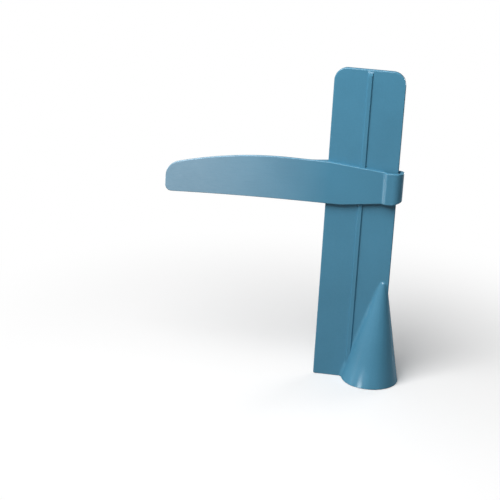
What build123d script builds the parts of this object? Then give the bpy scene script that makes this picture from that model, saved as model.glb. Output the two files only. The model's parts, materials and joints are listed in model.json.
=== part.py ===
from build123d import *
import os
from math import asin, atan2, cos, hypot, sin, sqrt, tan

# Icing smoother: an upright blade, moulded in one with a hollow cone handle, and an arm that slides on it.
# +Z runs up the blade, +X runs from the scraping edge to the handle, and -Y is the ribbed front.
# The origin is on the standing surface, in the middle of the blade's bottom edge, between its scraping
# edge and the handle. Lengths are in millimetres.

# Blade
blade_width = 54.0
blade_height = 250.0
blade_thickness = 3.6
blade_top_radius = 10.0
blade_foot_radius = 1.5
scraper_bevel_width = 8.0
scraper_edge_thickness = 1.0

# Rib down the front of the blade, which runs in a groove of the arm's sleeve
rib_foot_width = 4.4
rib_crest_width = 2.8
rib_height = 1.2
rib_top_margin = 1.2
rib_top_ramp = 5.0
rib_crest_round = 0.4

# Hollow cone handle, which is also the foot
rim_radius = 22.4
rim_inset = 9.0
nose_radius = 3.2
nose_height = 83.5
nose_inset = 4.2
handle_wall = 2.2
hollow_nose_radius = 4.0
crease_round = 3.0

# Sleeve of the arm, round the blade
slide_clearance = 0.25
scraper_clearance = 0.4
arm_wall = 2.4
closure_run = 20.0
closure_round = 16.0

# Bead down the sleeve's right end, which stands proud of its front
bead_depth = 2.15
bead_flank_run = 3.2
bead_width = 12.1
bead_overhang = 4.3
bead_front_radius = 7.0
bead_back_radius = 4.0
bead_flank_round = 2.0

# Strip of the arm, over the cake
arm_rest_height = 143.5
arm_reach = 123.2
arm_bow_radius = 760.0
arm_bow_start = 12.0
arm_height = 33.7
arm_summit_reach = 33.0
arm_top_radius = 350.0
arm_tip_top_radius = 12.0
arm_tip_foot_radius = 5.0
arm_edge_round = 0.6

# Ends of the sleeve, which draw in towards the bead
sleeve_foot_rise = 4.0
sleeve_foot_start = 42.0
sleeve_foot_end = 10.5
sleeve_top_fall = 0.5
sleeve_top_drop = 4.7
sleeve_top_start = 52.0
sleeve_top_end = 9.0
sleeve_end_round = 30.0
bead_foot_rise = 2.0
bead_foot_start = 3.0
bead_foot_round = 4.0

# How far a cutting shape runs past what it cuts
overrun = 20.0

# Places along X, from the middle of the blade's foot
foot_length = blade_width - rim_inset - rim_radius
scraper_x = -foot_length / 2
outer_x = scraper_x + blade_width
rib_x = scraper_x + blade_width / 2
rim_x = outer_x - rim_inset
nose_x = outer_x - nose_inset
bead_x = outer_x + bead_overhang
flank_end_x = bead_x - bead_width
flank_start_x = flank_end_x - bead_flank_run
tip_x = scraper_x - arm_reach
bow_x = scraper_x - arm_bow_start
summit_x = scraper_x - arm_summit_reach

# Places along Y, from the blade's middle plane
blade_front_y = -blade_thickness / 2
blade_back_y = blade_thickness / 2
scraper_back_y = blade_front_y + scraper_edge_thickness
rib_crest_y = blade_front_y - rib_height
slot_front_y = blade_front_y - slide_clearance
slot_back_y = blade_back_y + slide_clearance
groove_y = rib_crest_y - slide_clearance
arm_front_y = groove_y - arm_wall
arm_back_y = slot_back_y + arm_wall
bead_front_y = arm_front_y - bead_depth
bow_centre_y = arm_front_y - arm_bow_radius


def face_of(*lines):
    """The flat face inside a closed run of lines and arcs."""
    return make_face(Curve() + list(lines))


def rounded(face, corners):
    """The face with a round at each corner, which is given by its place and its radius."""
    for place, radius in corners:
        corner = face.vertices().sort_by_distance(place)[0]
        face = fillet(corner, radius)
    return face


def plan_solid(plan, low, high):
    """A plan outline in X and Y, drawn out along Z from low to high."""
    return extrude(Pos(0, 0, low) * plan, amount=high - low)


def front_solid(elevation, reach):
    """An outline in X and Z, drawn out along Y by reach on both sides of the blade's middle plane."""
    return extrude(Plane.XZ * elevation, amount=reach, both=True)


def make_blade():
    """The flat blade: bevelled from behind to its scraping edge, with its corners rounded."""
    bevel_x = scraper_x + scraper_bevel_width
    plan = face_of(
        Polyline(
            (scraper_x, blade_front_y),
            (outer_x, blade_front_y),
            (outer_x, blade_back_y),
            (bevel_x, blade_back_y),
            (scraper_x, scraper_back_y),
            close=True,
        )
    )
    foot_corner = (scraper_x, 0)
    left_corner = (scraper_x, blade_height)
    right_corner = (outer_x, blade_height)
    outline = face_of(Polyline(foot_corner, (outer_x, 0), right_corner, left_corner, close=True))
    corners = [
        (foot_corner, blade_foot_radius),
        (left_corner, blade_top_radius),
        (right_corner, blade_top_radius),
    ]
    outline = rounded(outline, corners)
    return plan_solid(plan, -overrun, blade_height + overrun) & front_solid(outline, blade_thickness)


def make_rib():
    """The rib: a bar of tapered section that curves back into the blade just below its top."""
    top = blade_height - rib_top_margin
    ramp_radius = (rib_top_ramp**2 + rib_height**2) / (2 * rib_height)
    plan = face_of(
        Polyline(
            (rib_x - rib_foot_width / 2, blade_front_y),
            (rib_x - rib_crest_width / 2, rib_crest_y),
            (rib_x + rib_crest_width / 2, rib_crest_y),
            (rib_x + rib_foot_width / 2, blade_front_y),
            close=True,
        )
    )
    crest = [
        ((rib_x - rib_crest_width / 2, rib_crest_y), rib_crest_round),
        ((rib_x + rib_crest_width / 2, rib_crest_y), rib_crest_round),
    ]
    ramp_foot = (rib_crest_y, top - rib_top_ramp)
    ramp_end = (blade_front_y, top)
    side = face_of(
        Polyline(ramp_end, (0, top), (0, 0), (rib_crest_y, 0), ramp_foot),
        RadiusArc(ramp_foot, ramp_end, ramp_radius),
    )
    ramp = extrude(Plane.YZ * side, amount=outer_x, both=True)
    return plan_solid(rounded(plan, crest), -overrun, top + overrun) & ramp


def nosed_cone(base_radius, half_angle, tip_radius):
    """A cone on its base at the origin, ended by a round nose that meets its side smoothly."""
    tip_z = (base_radius - tip_radius / cos(half_angle)) / tan(half_angle)
    side_end = (tip_radius * cos(half_angle), tip_z + tip_radius * sin(half_angle))
    below = (base_radius + overrun * tan(half_angle), -overrun)
    profile = face_of(
        Line((0, -overrun), below),
        Line(below, side_end),
        RadiusArc(side_end, (0, tip_z + tip_radius), -tip_radius),
        Line((0, tip_z + tip_radius), (0, -overrun)),
    )
    return revolve(Plane.XZ * profile, axis=Axis.Z)


def make_upright():
    """The upright blade with its rib and its hollow cone handle, in one moulding."""
    lean = Vector(nose_x - rim_x, 0, nose_height)
    handle_axis = Plane(origin=(rim_x, 0, 0), x_dir=(nose_height, 0, rim_x - nose_x), z_dir=lean)
    tip_distance = lean.length - nose_radius
    half_angle = atan2(rim_radius, tip_distance) - asin(nose_radius / hypot(rim_radius, tip_distance))
    above_floor = plan_solid(Pos(rim_x, 0) * Circle(2 * rim_radius), 0, blade_height)
    cone = handle_axis * nosed_cone(rim_radius, half_angle, nose_radius) & above_floor
    hollow_radius = rim_radius - handle_wall / cos(half_angle)
    hollow = handle_axis * nosed_cone(hollow_radius, half_angle, hollow_nose_radius)
    blade = make_blade()
    body = blade + cone
    creases = new_edges(blade, cone, combined=body)
    return fillet(creases, crease_round) + make_rib() - hollow


def bowed(radius, x):
    """The place on the strip's bow, whose centre lies in front of where the strip leaves the sleeve."""
    return x, bow_centre_y + sqrt(radius**2 - (x - bow_x) ** 2)


def arm_plan():
    """The arm from above: the bowed strip, the closure behind the scraping edge, and the bead."""
    beyond_x = tip_x - overrun
    back_radius = arm_bow_radius + arm_wall
    closure_end = (bow_x + closure_run, arm_back_y)
    strip_front = (bow_x, arm_front_y)
    strip_back = (bow_x, arm_front_y + arm_wall)
    flank_start = (flank_start_x, arm_front_y)
    flank_end = (flank_end_x, bead_front_y)
    bead_front = (bead_x, bead_front_y)
    bead_back = (bead_x, arm_back_y)
    front_tip = bowed(arm_bow_radius, beyond_x)
    back_tip = bowed(back_radius, beyond_x)
    outline = face_of(
        RadiusArc(front_tip, strip_front, arm_bow_radius),
        Polyline(strip_front, flank_start, flank_end, bead_front, bead_back, closure_end, strip_back),
        RadiusArc(strip_back, back_tip, -back_radius),
        Line(back_tip, front_tip),
    )
    corners = [
        (flank_start, bead_flank_round),
        (flank_end, bead_flank_round),
        (bead_front, bead_front_radius),
        (bead_back, bead_back_radius),
        (closure_end, closure_round),
        (strip_back, closure_round),
    ]
    return rounded(outline, corners)


def slot_plan():
    """The slot from above: the blade and its rib with their clearance, and the hollow of the bead."""
    slot_left_x = scraper_x - scraper_clearance
    bevel_x = scraper_x + scraper_bevel_width
    groove_foot = rib_foot_width / 2 + slide_clearance
    groove_crest = rib_crest_width / 2 + slide_clearance
    flank_angle = atan2(bead_depth, bead_flank_run)
    hollow_x = flank_end_x + arm_wall * tan(flank_angle / 2)
    hollow_y = bead_front_y + arm_wall
    hollow_run = (slot_front_y - hollow_y) / tan(flank_angle)
    hollow_front = (bead_x - arm_wall, hollow_y)
    hollow_back = (bead_x - arm_wall, slot_back_y)
    outline = face_of(
        Polyline(
            (slot_left_x, slot_front_y),
            (rib_x - groove_foot, slot_front_y),
            (rib_x - groove_crest, groove_y),
            (rib_x + groove_crest, groove_y),
            (rib_x + groove_foot, slot_front_y),
            (hollow_x - hollow_run, slot_front_y),
            (hollow_x, hollow_y),
            hollow_front,
            hollow_back,
            (bevel_x, slot_back_y),
            (slot_left_x, scraper_back_y + slide_clearance),
            close=True,
        )
    )
    corners = [
        (hollow_front, bead_front_radius - arm_wall),
        (hollow_back, bead_back_radius - arm_wall),
    ]
    return rounded(outline, corners)


def arm_elevation():
    """The arm from the front: a crowned strip with a straight scraping foot, drawn in at the sleeve."""
    beyond_x = bead_x + overrun
    summit_z = arm_rest_height + arm_height
    tip_drop = arm_top_radius - sqrt(arm_top_radius**2 - (summit_x - tip_x) ** 2)
    tip_foot = (tip_x, arm_rest_height)
    tip_top = (tip_x, summit_z - tip_drop)
    summit = (summit_x, summit_z)
    top_start = (outer_x - sleeve_top_start, summit_z - sleeve_top_fall)
    top_end = (outer_x - sleeve_top_end, summit_z - sleeve_top_drop)
    foot_start = (outer_x - sleeve_foot_start, arm_rest_height)
    foot_end = (outer_x - sleeve_foot_end, arm_rest_height + sleeve_foot_rise)
    bead_foot = (outer_x - bead_foot_start, arm_rest_height + sleeve_foot_rise)
    bead_rate = bead_foot_rise / (bead_foot_start + bead_overhang)
    bead_foot_z = bead_foot[1] + (beyond_x - bead_foot[0]) * bead_rate
    outline = face_of(
        RadiusArc(tip_top, summit, arm_top_radius),
        Polyline(summit, top_start, top_end, (beyond_x, top_end[1]), (beyond_x, bead_foot_z), bead_foot),
        Polyline(bead_foot, foot_end, foot_start, tip_foot, tip_top),
    )
    corners = [
        (tip_top, arm_tip_top_radius),
        (tip_foot, arm_tip_foot_radius),
        (top_start, sleeve_end_round),
        (top_end, sleeve_end_round),
        (foot_start, sleeve_end_round),
        (foot_end, sleeve_end_round),
        (bead_foot, bead_foot_round),
    ]
    return rounded(outline, corners)


def make_arm():
    """The sliding arm: the plan and the elevation meet, and the slot goes right through the sleeve."""
    top = arm_rest_height + arm_height + overrun
    reach = overrun - bowed(arm_bow_radius, tip_x)[1]
    arm = plan_solid(arm_plan(), arm_rest_height - overrun, top) & front_solid(arm_elevation(), reach)
    outline = arm.edges().filter_by(Axis.Y, reverse=True).filter_by(Axis.Z, reverse=True)
    outline += arm.edges().filter_by(Axis.Z).group_by(Axis.X)[0]
    outline += arm.edges().filter_by(Axis.Y).group_by(Axis.X)[-1]
    arm = fillet(outline, arm_edge_round)
    return arm - plan_solid(slot_plan(), arm_rest_height - overrun, top)


os.makedirs("parts", exist_ok=True)
export_step(make_upright(), "parts/upright_blade.step")
export_step(make_arm(), "parts/sliding_arm.step")
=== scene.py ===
"""Dresses the icing smoother: its upright moulding, its sliding arm, their plastic, and a plain studio."""

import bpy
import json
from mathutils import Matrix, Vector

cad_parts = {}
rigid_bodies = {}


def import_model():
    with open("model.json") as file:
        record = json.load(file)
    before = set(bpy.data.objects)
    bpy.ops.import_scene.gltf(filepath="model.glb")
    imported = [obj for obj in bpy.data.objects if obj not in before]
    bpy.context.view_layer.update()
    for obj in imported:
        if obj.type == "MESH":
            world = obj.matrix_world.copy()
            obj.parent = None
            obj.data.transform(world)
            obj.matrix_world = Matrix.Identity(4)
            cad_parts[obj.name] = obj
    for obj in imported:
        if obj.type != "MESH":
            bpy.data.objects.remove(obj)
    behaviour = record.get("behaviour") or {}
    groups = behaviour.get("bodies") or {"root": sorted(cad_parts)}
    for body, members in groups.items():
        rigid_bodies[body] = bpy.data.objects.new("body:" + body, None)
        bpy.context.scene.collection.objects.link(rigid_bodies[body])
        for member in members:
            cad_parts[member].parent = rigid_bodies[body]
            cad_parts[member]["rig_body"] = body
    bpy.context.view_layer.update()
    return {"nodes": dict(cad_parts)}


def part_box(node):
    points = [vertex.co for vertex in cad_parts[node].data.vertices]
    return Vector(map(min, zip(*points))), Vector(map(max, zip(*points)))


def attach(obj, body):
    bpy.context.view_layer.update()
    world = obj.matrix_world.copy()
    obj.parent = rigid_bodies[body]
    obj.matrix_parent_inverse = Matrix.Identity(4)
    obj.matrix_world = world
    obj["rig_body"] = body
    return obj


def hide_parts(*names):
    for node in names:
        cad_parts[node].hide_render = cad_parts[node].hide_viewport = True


bl_info = {
    "name": "Icing smoother",
    "version": (1, 1, 0),
    "blender": (4, 5, 0),
    "location": "View3D > Sidebar > Icing smoother",
    "description": "Builds an icing smoother with a sliding arm around its fixed frame",
    "category": "Add Mesh",
}

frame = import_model()

import json
import math

import bmesh
import bpy
from bpy.props import FloatProperty, FloatVectorProperty, IntProperty, PointerProperty
from mathutils import Matrix, Vector

UPRIGHT_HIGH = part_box("upright_blade")[1]
ARM_LOW, ARM_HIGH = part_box("sliding_arm")
MM = 0.001

# Mesh work: how near corners are merged, how near a place counts as on a plane, how far faces bend
# where they are made one, where the rib's end turns crisp and where an edge is sharp, and how many
# segments a round has
WELD = 0.002 * MM
HAIR = 0.01 * MM
FLAT_BEND = math.radians(0.05)
RIB_END_BEND = math.radians(20)
SHARP_BEND = math.radians(32)
ROUND_SEGMENTS = 4

# Noise patterns of the plastic: waves per metre, detail and roughness
PATTERNS = {
    "cloud": (22.0, 3.0, 0.5),
    "grain": (900.0, 2.0, 0.5),
    "patch": (35.0, 2.0, 0.5),
    "rub": (1.0, 4.0, 0.6),
    "wear": (420.0, 3.0, 0.5),
    "skin": (650.0, 2.0, 0.5),
    "wave": (60.0, 1.0, 0.5),
}
# Waves per metre of the rub marks along X, Y and Z: drawn out up the blade and along the strip
UPRIGHT_RUBS = (1600.0, 1600.0, 14.0)
ARM_RUBS = (18.0, 1500.0, 1500.0)

# Bands of a pattern's value that are drawn out to its full contrast
NOISE_BAND = (0.3, 0.7)
PATCH_BAND = (0.40, 0.66)
RUB_BAND = (0.54, 0.78)

# What the patterns do: contrast of the clouds and their share beside the grain, the least and most
# wear and painted bounce light, how pale wear is, what clouds, rub marks and wear add to the roughness,
# and how many times deeper than the peel the long waves are
CLOUD_CONTRAST = 0.08
CLOUD_SHARE = 0.7
GRAIN_SHARE = 0.3
WEAR_RANGE = (0.25, 0.8)
PAINTED_BOUNCE_RANGE = (0.8, 1.2)
WORN_PALENESS = 0.5
CLOUD_ROUGHNESS = (-0.04, 0.05)
RUB_ROUGHNESS = 0.25
WORN_ROUGHNESS = 0.1
WAVE_DEPTH = 6.0

# Sockets that a Mix node uses for colours: its factor, its two colours and its result
MIX_FACTOR, MIX_FIRST, MIX_SECOND, MIX_RESULT = 0, 6, 7, 2

# Lamps: name, place, target, width and height, power in watts and spread in degrees
LAMPS = (
    ("key", (-0.26, -0.46, 0.80), (0, 0, 0.15), (0.62, 0.62), 11.4, 180),
    ("back", (0.75, 0.90, 0.20), (0, 0, 0.12), (0.8, 0.3), 9.0, 180),
    ("side", (-0.389, -0.155, 0.010), (0.036, 0, 0.165), (0.10, 0.016), 0.0039, 60),
    ("catch", (-0.029, -0.103, 0.0045), (0.027, -0.02, 0.002), (0.046, 0.007), 0.00042, 24),
)
WHITE = (1.0, 1.0, 1.0, 1.0)


def length(name, description, default):
    """A length property of the panel, given in millimetres."""
    return FloatProperty(name=name, description=description, default=default * MM, unit="LENGTH", precision=5)


class UprightSettings(bpy.types.PropertyGroup):
    """Sizes of the upright moulding that the arm slides on."""

    blade_width: length("Blade width", "From the scraping edge to the outer edge", 54)
    blade_thickness: length("Blade thickness", "Thickness of the flat blade", 3.6)
    bead_overhang: length("Bead overhang", "How far the arm's bead stands past the outer edge", 4.3)
    scraper_bevel: length("Scraping bevel", "Width of the bevel behind the scraping edge", 8)
    scraper_edge: length("Scraping edge", "Thickness of the scraping edge", 1)
    rib_foot_width: length("Rib foot", "Width of the rib where it meets the blade", 4.4)
    rib_crest_width: length("Rib crest", "Width of the rib's flat crest", 2.8)
    rib_height: length("Rib height", "How far the rib stands out of the blade", 1.2)
    edge_round: length("Edge round", "Width of the rounds along the front outline and the rim", 0.68)
    back_round_share: FloatProperty(
        name="Back round share",
        description="Width of the rounds behind the blade, as a share of those in front",
        default=0.37,
        min=0.0,
        max=1.0,
        subtype="FACTOR",
    )


class ArmSettings(bpy.types.PropertyGroup):
    """Sizes of the sliding arm: its plan, its elevation and its edges."""

    wall: length("Wall", "Thickness of the strip and of the sleeve", 2.4)
    slide_clearance: length("Slide clearance", "Gap between the sleeve and the blade", 0.25)
    scraper_clearance: length("Scraper clearance", "Gap beside the scraping edge", 0.4)
    closure_run: length("Closure run", "Length of the slope that closes the sleeve behind the edge", 20)
    closure_round: length("Closure round", "Radius at both ends of the closing slope", 16)
    bead_depth: length("Bead depth", "How far the bead stands out of the sleeve", 2.15)
    bead_flank_run: length("Bead flank", "Width of the bead's sloping flank", 3.2)
    bead_width: length("Bead width", "Width of the bead beside its flank", 12.1)
    bead_front_round: length("Bead front corner", "Radius of the bead's outer corner at the front", 7)
    bead_back_round: length("Bead back corner", "Radius of the bead's outer corner at the back", 4)
    bead_flank_round: length("Flank round", "Radius at both ends of the flank", 2)
    bow_start: length("Bow start", "Where the strip starts to bow, beside the scraping edge", 12)
    bow_radius: length("Bow radius", "Radius of the strip's bow, seen from above", 760)
    summit_reach: length("Summit reach", "Where the crown is highest, beside the scraping edge", 33)
    crown_radius: length("Crown radius", "Radius of the crown along the strip's top", 350)
    tip_top_round: length("Tip top round", "Radius of the tip's upper corner", 12)
    tip_foot_round: length("Tip foot round", "Radius of the tip's lower corner", 5)
    sleeve_top_start: length("Sleeve top start", "Where the sleeve's top starts to fall", 52)
    sleeve_top_end: length("Sleeve top end", "Where the sleeve's top is level again", 9)
    sleeve_top_fall: length("Sleeve top fall", "Fall from the summit to where the sleeve starts", 0.5)
    sleeve_top_drop: length("Sleeve top drop", "Fall from the summit to the bead", 4.7)
    sleeve_foot_start: length("Sleeve foot start", "Where the sleeve's foot starts to rise", 42)
    sleeve_foot_end: length("Sleeve foot end", "Where the sleeve's foot is level again", 10.5)
    sleeve_foot_rise: length("Sleeve foot rise", "Rise of the sleeve's foot", 4)
    bead_foot_start: length("Bead foot start", "Where the bead's foot starts to rise", 3)
    bead_foot_rise: length("Bead foot rise", "Rise of the bead's foot", 2)
    column_step: length("Column step", "Widest gap between two columns of the mesh", 2)
    edge_round: length("Edge round", "Radius of the rounds along the arm's edges", 0.6)
    slot_edge_round: length("Slot edge round", "Radius of the rounds along the slot's edges", 0.15)
    round_steps: IntProperty(
        name="Round steps", description="Columns along each rounded corner", default=8, min=2, max=32
    )


class PlasticSettings(bpy.types.PropertyGroup):
    """Colour, gloss and skin of the moulded plastic."""

    colour: FloatVectorProperty(
        name="Colour",
        description="Colour of the moulded plastic",
        subtype="COLOR",
        default=(0.068, 0.228, 0.345),
        min=0.0,
        max=1.0,
    )
    worn_colour: FloatVectorProperty(
        name="Worn colour",
        description="Colour of the plastic where it is rubbed",
        subtype="COLOR",
        default=(0.105, 0.300, 0.430),
        min=0.0,
        max=1.0,
    )
    roughness: FloatProperty(
        name="Roughness",
        description="Roughness of the moulded skin",
        default=0.2,
        min=0.0,
        max=1.0,
        subtype="FACTOR",
    )
    # Painted bounce light: the strip's colour pales towards its tip to stand in for light bounced onto it.
    painted_bounce_colour: FloatVectorProperty(
        name="Haze colour",
        description="Colour that the strip pales to towards its tip, where it is wiped most",
        subtype="COLOR",
        default=(0.75, 0.86, 0.96),
        min=0.0,
        max=1.0,
    )
    painted_bounce: FloatProperty(
        name="Haze",
        description="How much the strip pales towards its tip",
        default=0.24,
        min=0.0,
        max=1.0,
        subtype="FACTOR",
    )
    rub_marks: FloatProperty(
        name="Rub marks",
        description="How strongly the fine rub marks show",
        default=0.25,
        min=0.0,
        max=1.0,
        subtype="FACTOR",
    )
    peel_depth: length("Peel depth", "Depth of the skin's fine waviness", 0.008)
    rub_depth: length("Rub depth", "Depth of the fine rub marks", 0.003)


class StageSettings(bpy.types.PropertyGroup):
    """The studio: camera, room and floor."""

    camera_place: FloatVectorProperty(
        name="Camera place",
        description="Where the camera stands",
        subtype="TRANSLATION",
        default=(0.10903, -1.27452, 0.56682),
    )
    camera_turn: FloatVectorProperty(
        name="Camera turn",
        description="How the camera is turned about X, Y and Z",
        subtype="EULER",
        default=(math.radians(69.919), math.radians(-3.110), math.radians(9.028)),
    )
    lens: FloatProperty(
        name="Lens",
        description="Focal length of the camera in millimetres",
        default=126.16,
        min=1.0,
    )
    room_left: FloatProperty(
        name="Room on the left",
        description="Strength of the room's light from the left",
        default=0.39,
        min=0.0,
    )
    room_right: FloatProperty(
        name="Room on the right",
        description="Strength of the room's light from the right",
        default=0.035,
        min=0.0,
    )
    room_turn: FloatProperty(
        name="Room turn",
        description="How far to each side the room's light goes on changing",
        default=0.7,
        min=0.0,
        max=1.0,
        subtype="FACTOR",
    )
    floor_size: length("Floor size", "Length of the floor's sides", 8000)
    floor_tone: FloatProperty(
        name="Floor tone",
        description="Tone of the floor as the camera sees it",
        default=0.80,
        min=0.0,
        max=1.0,
        subtype="FACTOR",
    )
    floor_bounce: FloatProperty(
        name="Floor bounce",
        description="Tone of the floor that lights the object from below",
        default=0.15,
        min=0.0,
        max=1.0,
        subtype="FACTOR",
    )
    floor_roughness: FloatProperty(
        name="Floor roughness",
        description="Roughness of the floor's paint",
        default=0.7,
        min=0.0,
        max=1.0,
        subtype="FACTOR",
    )
    fade_start: length("Fade start", "Where the floor starts to fade to plain white, from its middle", 80)
    fade_end: length("Fade end", "Where the floor is plain white, from its middle", 350)


def settings():
    """The scene's own group of settings."""
    return bpy.context.scene.icing_smoother


class Field:
    """A value that runs through a node tree, with sums written as its math nodes."""

    def __init__(self, tree, socket):
        self.tree = tree
        self.socket = socket

    def math(self, operation, *others):
        node = self.tree.nodes.new("ShaderNodeMath")
        node.operation = operation
        for slot, value in zip(node.inputs, (self, *others)):
            join(self.tree, value, slot)
        return Field(self.tree, node.outputs[0])

    def __add__(self, other):
        return self.math("ADD", other)

    def __sub__(self, other):
        return self.math("SUBTRACT", other)

    def __mul__(self, other):
        return self.math("MULTIPLY", other)

    def __truediv__(self, other):
        return self.math("DIVIDE", other)

    def squared(self):
        return self.math("POWER", 2.0)

    def root(self):
        return self.math("MAXIMUM", 0.0).math("SQRT")

    def ramp(self, start, end, low, high, kind="LINEAR"):
        """The value mapped from start and end to low and high, and level outside them."""
        node = self.tree.nodes.new("ShaderNodeMapRange")
        node.interpolation_type = kind
        for slot, value in zip(node.inputs, (self, start, end, low, high)):
            join(self.tree, value, slot)
        return Field(self.tree, node.outputs[0])

    def blend(self, first, second):
        """The first value where this is 0 and the second where it is 1."""
        return first + (second - first) * self


def join(tree, value, slot):
    """Feeds a field, a socket or a plain value to a node's input."""
    if isinstance(value, Field):
        tree.links.new(value.socket, slot)
    elif isinstance(value, bpy.types.NodeSocket):
        tree.links.new(value, slot)
    else:
        slot.default_value = value


def add_node(tree, kind, inputs=(), **options):
    """Adds a node with its options, and feeds its inputs by name."""
    node = tree.nodes.new(kind)
    for name, value in options.items():
        setattr(node, name, value)
    for name, value in dict(inputs).items():
        join(tree, value, node.inputs[name])
    return node


def rounded_corner(before, corner, after, radius, steps):
    """The points of the arc that rounds a corner between its neighbours, or the bare corner."""
    if not radius:
        return [corner]
    ahead = (corner - before).normalized()
    onward = (after - corner).normalized()
    bend = math.atan2(ahead.x * onward.y - ahead.y * onward.x, ahead.dot(onward))
    start = corner - ahead * radius * math.tan(abs(bend) / 2)
    centre = start + Vector((-ahead.y, ahead.x)) * math.copysign(radius, bend)
    return [centre + Matrix.Rotation(bend * step / steps, 2) @ (start - centre) for step in range(steps + 1)]


def rounded_line(corners, run_steps, round_steps):
    """A line through corners, given with their rounds, that has set steps along each run and each round."""
    places = [place for place, radius in corners]
    stretches = [[places[0]]]
    for number in range(1, len(corners) - 1):
        place, radius = corners[number]
        stretches.append(rounded_corner(places[number - 1], place, places[number + 1], radius, round_steps))
    stretches.append([places[-1]])
    line = list(stretches[0])
    for stretch, steps in zip(stretches[1:], run_steps):
        start = line[-1]
        line += [start.lerp(stretch[0], step / steps) for step in range(1, steps)]
        line += stretch
    return line


def arm_places():
    """The arm's places along X and Y, worked out from the frame and from its settings."""
    arm = settings().arm
    blade = settings().upright
    place = {}
    place["bead_x"] = ARM_HIGH[0]
    place["tip_x"] = ARM_LOW[0]
    place["outer_x"] = place["bead_x"] - blade.bead_overhang
    place["scraper_x"] = place["outer_x"] - blade.blade_width
    place["bevel_x"] = place["scraper_x"] + blade.scraper_bevel
    place["slot_left_x"] = place["scraper_x"] - arm.scraper_clearance
    place["bow_x"] = place["scraper_x"] - arm.bow_start
    place["flank_end_x"] = place["bead_x"] - arm.bead_width
    place["flank_start_x"] = place["flank_end_x"] - arm.bead_flank_run
    place["rib_x"] = place["scraper_x"] + blade.blade_width / 2
    place["slot_front_y"] = -blade.blade_thickness / 2 - arm.slide_clearance
    place["groove_y"] = place["slot_front_y"] - blade.rib_height
    place["slot_back_y"] = blade.blade_thickness / 2 + arm.slide_clearance
    place["slot_left_y"] = -blade.blade_thickness / 2 + blade.scraper_edge + arm.slide_clearance
    place["front_y"] = place["groove_y"] - arm.wall
    place["back_y"] = place["slot_back_y"] + arm.wall
    place["bead_front_y"] = place["front_y"] - arm.bead_depth
    return place


def strip_columns(place):
    """The X places of the strip's columns: close together round its tip, then evenly spread."""
    arm = settings().arm
    columns = set()
    for radius in (arm.tip_top_round, arm.tip_foot_round):
        for step in range(arm.round_steps + 1):
            angle = math.pi / 2 * step / arm.round_steps
            columns.add(place["tip_x"] + radius * (1 - math.cos(angle)))
    start = place["tip_x"] + arm.tip_top_round
    steps = math.ceil((place["slot_left_x"] - start) / arm.column_step)
    for step in range(1, steps):
        columns.add(start + (place["slot_left_x"] - start) * step / steps)
    return sorted(columns)


def strip_back(x, place):
    """How far back the strip reaches at x: level, then round into the slope that closes the sleeve."""
    arm = settings().arm
    level = place["front_y"] + arm.wall
    slope = math.atan2(place["back_y"] - level, arm.closure_run)
    round_start = place["bow_x"] - arm.closure_round * math.tan(slope / 2)
    round_end = round_start + arm.closure_round * math.sin(slope)
    if x <= round_start:
        return level
    if x >= round_end:
        return level + (x - place["bow_x"]) * math.tan(slope)
    return level + arm.closure_round - math.sqrt(arm.closure_round**2 - (x - round_start) ** 2)


def sleeve_corners(place):
    """The corners of the sleeve's outside and of its slot, in step with each other and with their rounds."""
    arm = settings().arm
    blade = settings().upright
    closure_end_x = place["bow_x"] + arm.closure_run
    bead_bend = math.atan2(arm.bead_depth, arm.bead_flank_run)
    flank_end_x = place["flank_end_x"] + arm.wall * math.tan(bead_bend / 2)
    hollow_front_y = place["bead_front_y"] + arm.wall
    flank_start_x = flank_end_x - (place["slot_front_y"] - hollow_front_y) / math.tan(bead_bend)
    foot_half = blade.rib_foot_width / 2 + arm.slide_clearance
    crest_half = blade.rib_crest_width / 2 + arm.slide_clearance
    groove = [
        (place["rib_x"] - foot_half, place["slot_front_y"]),
        (place["rib_x"] - crest_half, place["groove_y"]),
        (place["rib_x"] + crest_half, place["groove_y"]),
        (place["rib_x"] + foot_half, place["slot_front_y"]),
    ]
    inner_bead_x = place["bead_x"] - arm.wall
    inner_front_round = arm.bead_front_round - arm.wall
    inner_back_round = arm.bead_back_round - arm.wall
    left_back_y = strip_back(place["slot_left_x"], place)
    outer = [
        ((place["slot_left_x"], place["front_y"]), 0),
        *(((x, place["front_y"]), 0) for x, y in groove),
        ((place["flank_start_x"], place["front_y"]), arm.bead_flank_round),
        ((place["flank_end_x"], place["bead_front_y"]), arm.bead_flank_round),
        ((place["bead_x"], place["bead_front_y"]), arm.bead_front_round),
        ((place["bead_x"], place["back_y"]), arm.bead_back_round),
        ((closure_end_x, place["back_y"]), arm.closure_round),
        ((place["slot_left_x"], left_back_y), 0),
    ]
    inner = [
        ((place["slot_left_x"], place["slot_front_y"]), 0),
        *((spot, 0) for spot in groove),
        ((flank_start_x, place["slot_front_y"]), arm.bead_flank_round),
        ((flank_end_x, hollow_front_y), arm.slide_clearance),
        ((inner_bead_x, hollow_front_y), inner_front_round),
        ((inner_bead_x, place["slot_back_y"]), inner_back_round),
        ((place["bevel_x"], place["slot_back_y"]), arm.closure_round - arm.wall),
        ((place["slot_left_x"], place["slot_left_y"]), 0),
    ]
    return [[(Vector(spot), radius) for spot, radius in line] for line in (outer, inner)]


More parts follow.
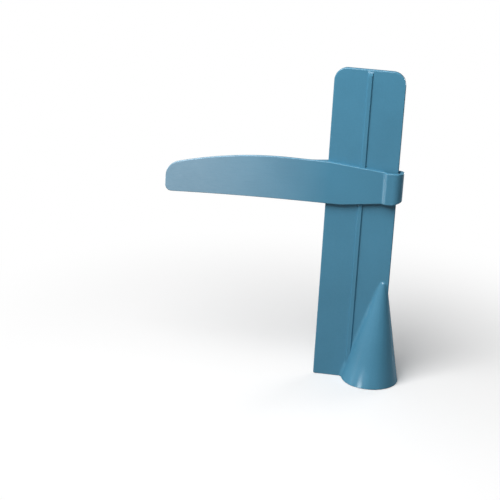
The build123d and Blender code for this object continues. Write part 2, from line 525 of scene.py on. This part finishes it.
def arm_plan():
    """The arm from above as a flat mesh: a strip of columns that opens into a ring round the slot."""
    arm = settings().arm
    place = arm_places()
    outer, inner = sleeve_corners(place)
    runs = [(end - start).length for (start, _), (end, _) in zip(outer, outer[1:])]
    run_steps = [max(1, math.ceil(run / arm.column_step)) for run in runs]
    outer_line = rounded_line(outer, run_steps, arm.round_steps)
    inner_line = rounded_line(inner, run_steps, arm.round_steps)

    work = bmesh.new()
    slot_side = work.verts.layers.float.new("slot_side")
    outer_ring = [work.verts.new((*spot, 0)) for spot in outer_line]
    inner_ring = [work.verts.new((*spot, 0)) for spot in inner_line]
    for vert in inner_ring:
        vert[slot_side] = 1.0
    columns = strip_columns(place)
    front = [work.verts.new((x, place["front_y"], 0)) for x in columns]
    back = [work.verts.new((x, strip_back(x, place), 0)) for x in columns]
    for edge, far_edge in ((front, back), (outer_ring, inner_ring)):
        for number in range(len(edge) - 1):
            work.faces.new((edge[number], edge[number + 1], far_edge[number + 1], far_edge[number]))
    work.faces.new((front[-1], outer_ring[0], inner_ring[0], inner_ring[-1], outer_ring[-1], back[-1]))
    mesh = bpy.data.meshes.new("arm_plan")
    work.to_mesh(mesh)
    work.free()
    return mesh


def arm_shape_sizes():
    """The sizes that the arm's node tree takes, by the names of its inputs."""
    arm = settings().arm
    place = arm_places()
    summit_x = place["scraper_x"] - arm.summit_reach
    return {
        "Rest height": ARM_LOW[2],
        "Summit height": ARM_HIGH[2],
        "Tip place": place["tip_x"],
        "Summit place": summit_x,
        "Crown radius": arm.crown_radius,
        "Tip top round": arm.tip_top_round,
        "Tip foot round": arm.tip_foot_round,
        "Front place": place["front_y"],
        "Bow place": place["bow_x"],
        "Bow radius": arm.bow_radius,
        "Sleeve top start": place["outer_x"] - arm.sleeve_top_start,
        "Sleeve top end": place["outer_x"] - arm.sleeve_top_end,
        "Sleeve top fall": arm.sleeve_top_fall,
        "Sleeve top drop": arm.sleeve_top_drop,
        "Sleeve foot start": place["outer_x"] - arm.sleeve_foot_start,
        "Sleeve foot end": place["outer_x"] - arm.sleeve_foot_end,
        "Sleeve foot rise": arm.sleeve_foot_rise,
        "Bead foot start": place["outer_x"] - arm.bead_foot_start,
        "Bead end": place["bead_x"],
        "Bead foot rise": arm.bead_foot_rise,
    }


def arm_top(x, size):
    """Height of the arm's top at x: the crown, the tip's upper round, and the fall along the sleeve."""
    crown_radius = size["Crown radius"]
    tip_round = size["Tip top round"]
    centre_z = size["Summit height"] - crown_radius
    before_summit = (x - size["Summit place"]).math("MINIMUM", 0.0)
    crown = centre_z + (crown_radius.squared() - before_summit.squared()).root()
    round_x = size["Tip place"] + tip_round
    round_run = size["Summit place"] - round_x
    inner_radius = crown_radius - tip_round
    round_z = centre_z + (inner_radius.squared() - round_run.squared()).root()
    tip_line = round_z + (tip_round.squared() - (x - round_x).squared()).root()
    round_end = size["Summit place"] - round_run * crown_radius / inner_radius
    outline = x.math("LESS_THAN", round_end).blend(crown, tip_line)
    fall = x.ramp(size["Summit place"], size["Sleeve top start"], 0.0, size["Sleeve top fall"])
    sleeve_drop = size["Sleeve top drop"] - size["Sleeve top fall"]
    return outline - fall - x.ramp(size["Sleeve top start"], size["Sleeve top end"], 0.0, sleeve_drop)


def arm_foot(x, size):
    """Height of the arm's foot at x: straight, with the tip's lower round and a rise below the sleeve."""
    tip_round = size["Tip foot round"]
    into_round = (x - size["Tip place"] - tip_round).math("MINIMUM", 0.0)
    tip_rise = tip_round - (tip_round.squared() - into_round.squared()).root()
    sleeve_rise = x.ramp(size["Sleeve foot start"], size["Sleeve foot end"], 0.0, size["Sleeve foot rise"])
    bead_rise = x.ramp(size["Bead foot start"], size["Bead end"], 0.0, size["Bead foot rise"])
    return size["Rest height"] + tip_rise + sleeve_rise + bead_rise


def arm_bow(x, y, size):
    """The place along Y at x: the strip bows towards its front, on arcs round one centre."""
    centre_y = size["Front place"] - size["Bow radius"]
    past_start = (x - size["Bow place"]).math("MINIMUM", 0.0)
    return centre_y + ((y - centre_y).squared() - past_start.squared()).root()


def arm_tree(names):
    """The node tree that raises the arm's flat plan to its crowned elevation and bows its strip."""
    tree = bpy.data.node_groups.new("arm_shape", "GeometryNodeTree")
    tree.interface.new_socket("Plan", in_out="INPUT", socket_type="NodeSocketGeometry")
    for name in names:
        socket = tree.interface.new_socket(name, in_out="INPUT", socket_type="NodeSocketFloat")
        socket.subtype = "DISTANCE"
    tree.interface.new_socket("Plastic", in_out="INPUT", socket_type="NodeSocketMaterial")
    tree.interface.new_socket("Arm", in_out="OUTPUT", socket_type="NodeSocketGeometry")
    entry = tree.nodes.new("NodeGroupInput")
    size = {name: Field(tree, entry.outputs[name]) for name in names}
    plan = entry.outputs["Plan"]
    raising = {"Mesh": plan, "Offset": (0, 0, 1), "Offset Scale": 1.0, "Individual": False}
    raised = add_node(tree, "GeometryNodeExtrudeMesh", raising, mode="FACES")
    foot = add_node(tree, "GeometryNodeFlipFaces", {"Mesh": plan})
    both = add_node(tree, "GeometryNodeJoinGeometry")
    tree.links.new(raised.outputs["Mesh"], both.inputs["Geometry"])
    tree.links.new(foot.outputs["Mesh"], both.inputs["Geometry"])
    merging = {"Geometry": both.outputs["Geometry"], "Distance": WELD}
    closed = add_node(tree, "GeometryNodeMergeByDistance", merging)
    place = add_node(tree, "GeometryNodeInputPosition")
    parts = add_node(tree, "ShaderNodeSeparateXYZ", {"Vector": place.outputs["Position"]})
    x, y, height_share = (Field(tree, output) for output in parts.outputs)
    z = height_share.blend(arm_foot(x, size), arm_top(x, size))
    moved = add_node(tree, "ShaderNodeCombineXYZ", {"X": x, "Y": arm_bow(x, y, size), "Z": z})
    placing = {"Geometry": closed.outputs["Geometry"], "Position": moved.outputs["Vector"]}
    placed = add_node(tree, "GeometryNodeSetPosition", placing)
    whole = add_node(tree, "GeometryNodeRealizeInstances", {"Geometry": placed.outputs["Geometry"]})
    dressing = {"Geometry": whole.outputs["Geometry"], "Material": entry.outputs["Plastic"]}
    dressed = add_node(tree, "GeometryNodeSetMaterial", dressing)
    leave = tree.nodes.new("NodeGroupOutput")
    tree.links.new(dressed.outputs["Geometry"], leave.inputs["Arm"])
    return tree


def grown_mesh(name, mesh, tree, values):
    """Runs a node tree on a mesh with its named values, and gives the result as a plain mesh."""
    base = bpy.data.objects.new(name, mesh)
    bpy.context.collection.objects.link(base)
    growth = base.modifiers.new(name, "NODES")
    growth.node_group = tree
    for socket in tree.interface.items_tree:
        if socket.in_out == "INPUT" and socket.name in values:
            growth[socket.identifier] = values[socket.name]
    graph = bpy.context.evaluated_depsgraph_get()
    result = bpy.data.meshes.new_from_object(base.evaluated_get(graph))
    base.modifiers.remove(growth)
    bpy.data.objects.remove(base)
    return result


def mark_rounds(work, round_share):
    """Marks how far each sharp outer edge is rounded, and keeps unrounded and inner sharp edges crisp."""
    rounding = work.edges.layers.float.new("bevel_weight_edge")
    for edge in work.edges:
        bend = edge.calc_face_angle_signed(0)
        if bend > SHARP_BEND:
            edge[rounding] = round_share(edge)
            edge.smooth = edge[rounding] > 0
        elif bend < -SHARP_BEND:
            edge.smooth = False


def upright_mesh():
    """A merged copy of the CAD upright, with its flat faces made whole and its edges marked."""
    blade = settings().upright
    front_y = -blade.blade_thickness / 2
    handle_radius = UPRIGHT_HIGH[1]
    handle_x = UPRIGHT_HIGH[0] - handle_radius
    middle_z = UPRIGHT_HIGH[2] / 2

    def round_share(edge):
        place = (edge.verts[0].co + edge.verts[1].co) / 2
        if place.y < front_y - HAIR and place.z > middle_z:
            return 0.0
        in_mouth = math.hypot(place.x - handle_x, place.y) < handle_radius - blade.edge_round
        if place.y < front_y + HAIR or (in_mouth and place.z < HAIR):
            return 1.0
        towards_right = max(0.0, min(1.0, (place.x - handle_x) / handle_radius))
        return blade.back_round_share + (1 - blade.back_round_share) * towards_right

    work = bmesh.new()
    work.from_mesh(frame["nodes"]["upright_blade"].data)
    bmesh.ops.remove_doubles(work, verts=work.verts, dist=WELD)
    bmesh.ops.dissolve_limit(work, angle_limit=FLAT_BEND, verts=work.verts, edges=work.edges)
    mark_rounds(work, round_share)
    for edge in work.edges:
        by_rib_end = min(vert.co.z for vert in edge.verts) > middle_z
        if by_rib_end and edge.calc_face_angle_signed(0) < -RIB_END_BEND:
            edge.smooth = False
    mesh = bpy.data.meshes.new("upright_skin")
    work.to_mesh(mesh)
    work.free()
    return mesh


def arm_mesh(material):
    """The arm's mesh, grown from its plan, with its edges marked."""
    arm = settings().arm
    sizes = arm_shape_sizes()
    mesh = grown_mesh("arm_growth", arm_plan(), arm_tree(list(sizes)), {**sizes, "Plastic": material})
    work = bmesh.new()
    work.from_mesh(mesh)
    slot_side = work.verts.layers.float["slot_side"]

    def round_share(edge):
        in_slot = all(vert[slot_side] > 0.5 for vert in edge.verts)
        return arm.slot_edge_round / arm.edge_round if in_slot else 1.0

    mark_rounds(work, round_share)
    work.to_mesh(mesh)
    work.free()
    return mesh


def rounded_mesh(mesh, material, edge_round):
    """The mesh with its marked edges rounded, and with an attribute that is 1 along the rounds."""
    base = bpy.data.objects.new("rounding", mesh)
    bpy.context.collection.objects.link(base)
    mesh.materials.clear()
    mesh.materials.append(material)
    mesh.materials.append(material)
    bevel = base.modifiers.new("edge_round", "BEVEL")
    bevel.width = edge_round
    bevel.segments = ROUND_SEGMENTS
    bevel.limit_method = "WEIGHT"
    bevel.material = 1
    bevel.use_clamp_overlap = False
    bevel.loop_slide = False
    graph = bpy.context.evaluated_depsgraph_get()
    result = bpy.data.meshes.new_from_object(base.evaluated_get(graph))
    bpy.data.objects.remove(base)
    work = bmesh.new()
    work.from_mesh(result)
    wear = work.verts.layers.float.new("edge_wear")
    for vert in work.verts:
        if all(face.material_index == 1 for face in vert.link_faces):
            vert[wear] = 1.0
    for face in work.faces:
        face.material_index = 0
        face.smooth = True
    work.to_mesh(result)
    work.free()
    result.materials.pop(index=1)
    return result


def finish_piece(name, mesh, node):
    """Adds the piece to the scene, evens its shading and stands it in for its CAD node."""
    piece = bpy.data.objects.new(name, mesh)
    bpy.context.collection.objects.link(piece)
    weighted = piece.modifiers.new("even_shading", "WEIGHTED_NORMAL")
    weighted.keep_sharp = True
    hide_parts(node)
    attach(piece, frame["nodes"][node]["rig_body"])


def noise(tree, place, pattern):
    """One of the noise patterns over a place, as a field about one half."""
    scale, detail, roughness = PATTERNS[pattern]
    inputs = {"Vector": place, "Scale": scale, "Detail": detail, "Roughness": roughness}
    node = add_node(tree, "ShaderNodeTexNoise", inputs, noise_dimensions="3D")
    return Field(tree, node.outputs["Fac"])


def stretched(tree, place, scale):
    """The place scaled along each axis, so that a pattern on it is drawn out."""
    node = add_node(tree, "ShaderNodeMapping", {"Vector": place, "Scale": scale})
    return node.outputs["Vector"]


def mix_colours(tree, share, first, second):
    """The first colour where the share is 0 and the second where it is 1."""
    node = add_node(tree, "ShaderNodeMix", data_type="RGBA")
    join(tree, share, node.inputs[MIX_FACTOR])
    join(tree, first, node.inputs[MIX_FIRST])
    join(tree, second, node.inputs[MIX_SECOND])
    return node.outputs[MIX_RESULT]


def plastic(name, rub_scale, painted_bounce_run=None):
    """Semi-gloss plastic: clouded, fine skin, rub marks, paler worn edges, and painted bounce light along a
    run.
    """
    look = settings().plastic
    material = bpy.data.materials.new(name)
    material.use_nodes = True
    tree = material.node_tree
    shader = tree.nodes["Principled BSDF"]
    place = add_node(tree, "ShaderNodeTexCoord").outputs["Object"]
    cloud = noise(tree, place, "cloud")
    grain = noise(tree, place, "grain")
    rub = noise(tree, stretched(tree, place, rub_scale), "rub")
    patches = noise(tree, place, "patch").ramp(*PATCH_BAND, 0.0, 1.0, "SMOOTHSTEP")
    rub_lines = rub.ramp(*RUB_BAND, 0.0, 1.0, "SMOOTHSTEP") * patches * look.rub_marks
    edge = Field(tree, add_node(tree, "ShaderNodeAttribute", attribute_name="edge_wear").outputs["Fac"])
    worn = edge * noise(tree, place, "wear").ramp(*NOISE_BAND, *WEAR_RANGE)
    light = tuple(min(1.0, part * (1 + CLOUD_CONTRAST)) for part in look.colour)
    dark = tuple(part * (1 - CLOUD_CONTRAST) for part in look.colour)
    shade = (cloud * CLOUD_SHARE + grain * GRAIN_SHARE).ramp(*NOISE_BAND, 0.0, 1.0)
    body = mix_colours(tree, shade, (*dark, 1.0), (*light, 1.0))
    # Painted bounce light and sheen: the colour pales along the run towards the tip, in place of bounced
    # light.
    if painted_bounce_run:
        parts = add_node(tree, "ShaderNodeSeparateXYZ", {"Vector": place})
        reach = Field(tree, parts.outputs["X"]).ramp(*painted_bounce_run, 0.0, look.painted_bounce)
        painted_bounce_share = reach * (cloud * 0.5 + rub * 0.5).ramp(*NOISE_BAND, *PAINTED_BOUNCE_RANGE)
        body = mix_colours(tree, painted_bounce_share, body, (*look.painted_bounce_colour, 1.0))
    rubbed = mix_colours(tree, rub_lines + worn * WORN_PALENESS, body, (*look.worn_colour, 1.0))
    tree.links.new(rubbed, shader.inputs["Base Color"])
    rough = cloud.ramp(*NOISE_BAND, *(look.roughness + step for step in CLOUD_ROUGHNESS))
    rough = rough + rub_lines * RUB_ROUGHNESS + worn * WORN_ROUGHNESS
    join(tree, rough, shader.inputs["Roughness"])
    skin = noise(tree, place, "skin")
    wave = noise(tree, place, "wave")
    height = skin * look.peel_depth + wave * look.peel_depth * WAVE_DEPTH + rub_lines * look.rub_depth
    bump = add_node(tree, "ShaderNodeBump", {"Strength": 1.0, "Distance": 1.0, "Height": height})
    tree.links.new(bump.outputs["Normal"], shader.inputs["Normal"])
    return material


class SMOOTHER_OT_upright(bpy.types.Operator):
    """Build the upright moulding: blade, rib and hollow handle"""

    bl_idname = "smoother.upright"
    bl_label = "Upright moulding"

    def execute(self, context):
        material = plastic("upright_plastic", UPRIGHT_RUBS)
        mesh = rounded_mesh(upright_mesh(), material, settings().upright.edge_round)
        finish_piece("upright_moulding", mesh, "upright_blade")
        return {"FINISHED"}


class SMOOTHER_OT_arm(bpy.types.Operator):
    """Build the sliding arm: strip, sleeve and bead"""

    bl_idname = "smoother.arm"
    bl_label = "Sliding arm"

    def execute(self, context):
        sizes = arm_shape_sizes()
        # The run over which the strip's painted bounce light grows, from the sleeve's top to near the tip.
        painted_bounce_run = (sizes["Sleeve top start"], sizes["Tip place"] + 2 * sizes["Tip top round"])
        material = plastic("arm_plastic", ARM_RUBS, painted_bounce_run)
        mesh = rounded_mesh(arm_mesh(material), material, settings().arm.edge_round)
        finish_piece("arm_moulding", mesh, "sliding_arm")
        return {"FINISHED"}


def add_lamp(name, place, target, size, power, spread):
    """A lamp of a width and height at a place, pointed at its target, that the camera doesn't see."""
    lamp = bpy.data.lights.new(name, "AREA")
    lamp.shape = "RECTANGLE"
    lamp.size, lamp.size_y = size
    lamp.energy = power
    lamp.spread = math.radians(spread)
    holder = bpy.data.objects.new(name, lamp)
    holder.location = place
    holder.rotation_euler = (Vector(target) - Vector(place)).to_track_quat("-Z", "Y").to_euler()
    holder.visible_camera = False
    bpy.context.collection.objects.link(holder)


def add_camera():
    """The camera at the photograph's angle."""
    stage = settings().stage
    lens = bpy.data.cameras.new("camera")
    lens.lens = stage.lens
    camera = bpy.data.objects.new("camera", lens)
    camera.location = stage.camera_place
    camera.rotation_euler = stage.camera_turn
    bpy.context.collection.objects.link(camera)
    bpy.context.scene.camera = camera


def seen_by_camera(tree):
    """A field that is 1 for what the camera sees and 0 for what lights or mirrors in the object."""
    return Field(tree, add_node(tree, "ShaderNodeLightPath").outputs["Is Camera Ray"])


def studio_world():
    """A pale room, dimmer on the right, that the camera sees as plain white."""
    stage = settings().stage
    world = bpy.data.worlds.new("studio")
    world.use_nodes = True
    tree = world.node_tree
    backdrop = tree.nodes["Background"]
    backdrop.inputs["Color"].default_value = WHITE
    direction = add_node(tree, "ShaderNodeTexCoord").outputs["Generated"]
    parts = add_node(tree, "ShaderNodeSeparateXYZ", {"Vector": direction})
    side = Field(tree, parts.outputs["X"])
    room = side.ramp(-stage.room_turn, stage.room_turn, stage.room_left, stage.room_right)
    seen = seen_by_camera(tree)
    join(tree, room + seen - room * seen, backdrop.inputs["Strength"])
    return world


def floor_paint():
    """Pale paint that keeps the shadow near the object, and is plain white to the camera farther off."""
    stage = settings().stage
    material = bpy.data.materials.new("floor_paint")
    material.use_nodes = True
    tree = material.node_tree
    paint = tree.nodes["Principled BSDF"]
    paint.inputs["Roughness"].default_value = stage.floor_roughness
    seen = seen_by_camera(tree)
    bounce, shown = ((tone, tone, tone, 1.0) for tone in (stage.floor_bounce, stage.floor_tone))
    tree.links.new(mix_colours(tree, seen, bounce, shown), paint.inputs["Base Color"])
    place = add_node(tree, "ShaderNodeTexCoord").outputs["Object"]
    parts = add_node(tree, "ShaderNodeSeparateXYZ", {"Vector": place})
    x, y = (Field(tree, parts.outputs[axis]) for axis in "XY")
    far = (x * x + y * y).root().ramp(stage.fade_start, stage.fade_end, 0.0, 1.0, "SMOOTHSTEP")
    white = add_node(tree, "ShaderNodeEmission", {"Color": WHITE, "Strength": 1.0})
    both = add_node(tree, "ShaderNodeMixShader", {"Fac": far * seen})
    tree.links.new(paint.outputs["BSDF"], both.inputs[1])
    tree.links.new(white.outputs["Emission"], both.inputs[2])
    tree.links.new(both.outputs["Shader"], tree.nodes["Material Output"].inputs["Surface"])
    return material


class SMOOTHER_OT_stage(bpy.types.Operator):
    """Set the camera, the lamps, the world and the floor"""

    bl_idname = "smoother.stage"
    bl_label = "Studio"

    def execute(self, context):
        scene = context.scene
        add_camera()
        scene.view_settings.view_transform = "Standard"
        scene.world = studio_world()
        for lamp in LAMPS:
            add_lamp(*lamp)
        bpy.ops.mesh.primitive_plane_add(size=settings().stage.floor_size)
        floor = context.active_object
        floor.name = "floor"
        floor.data.materials.append(floor_paint())
        return {"FINISHED"}


class SmootherSettings(bpy.types.PropertyGroup):
    """All settings of the icing smoother."""

    upright: PointerProperty(type=UprightSettings)
    arm: PointerProperty(type=ArmSettings)
    plastic: PointerProperty(type=PlasticSettings)
    stage: PointerProperty(type=StageSettings)


class SMOOTHER_PT_panel(bpy.types.Panel):
    """Lists the steps that build the icing smoother."""

    bl_label = "Icing smoother"
    bl_idname = "SMOOTHER_PT_panel"
    bl_space_type = "VIEW_3D"
    bl_region_type = "UI"
    bl_category = "Icing smoother"

    def draw(self, context):
        for step in (SMOOTHER_OT_upright, SMOOTHER_OT_arm, SMOOTHER_OT_stage):
            self.layout.operator(step.bl_idname)


CLASSES = (
    UprightSettings,
    ArmSettings,
    PlasticSettings,
    StageSettings,
    SmootherSettings,
    SMOOTHER_OT_upright,
    SMOOTHER_OT_arm,
    SMOOTHER_OT_stage,
    SMOOTHER_PT_panel,
)


def register():
    """Registers the classes and hangs the settings on the scene."""
    for each in CLASSES:
        bpy.utils.register_class(each)
    bpy.types.Scene.icing_smoother = PointerProperty(type=SmootherSettings)


def unregister():
    """Takes the settings and the classes away again."""
    del bpy.types.Scene.icing_smoother
    for each in reversed(CLASSES):
        bpy.utils.unregister_class(each)


def main():
    """Builds everything in order."""
    register()
    bpy.ops.smoother.upright()
    bpy.ops.smoother.arm()
    bpy.ops.smoother.stage()


if __name__ == "__main__":
    main()
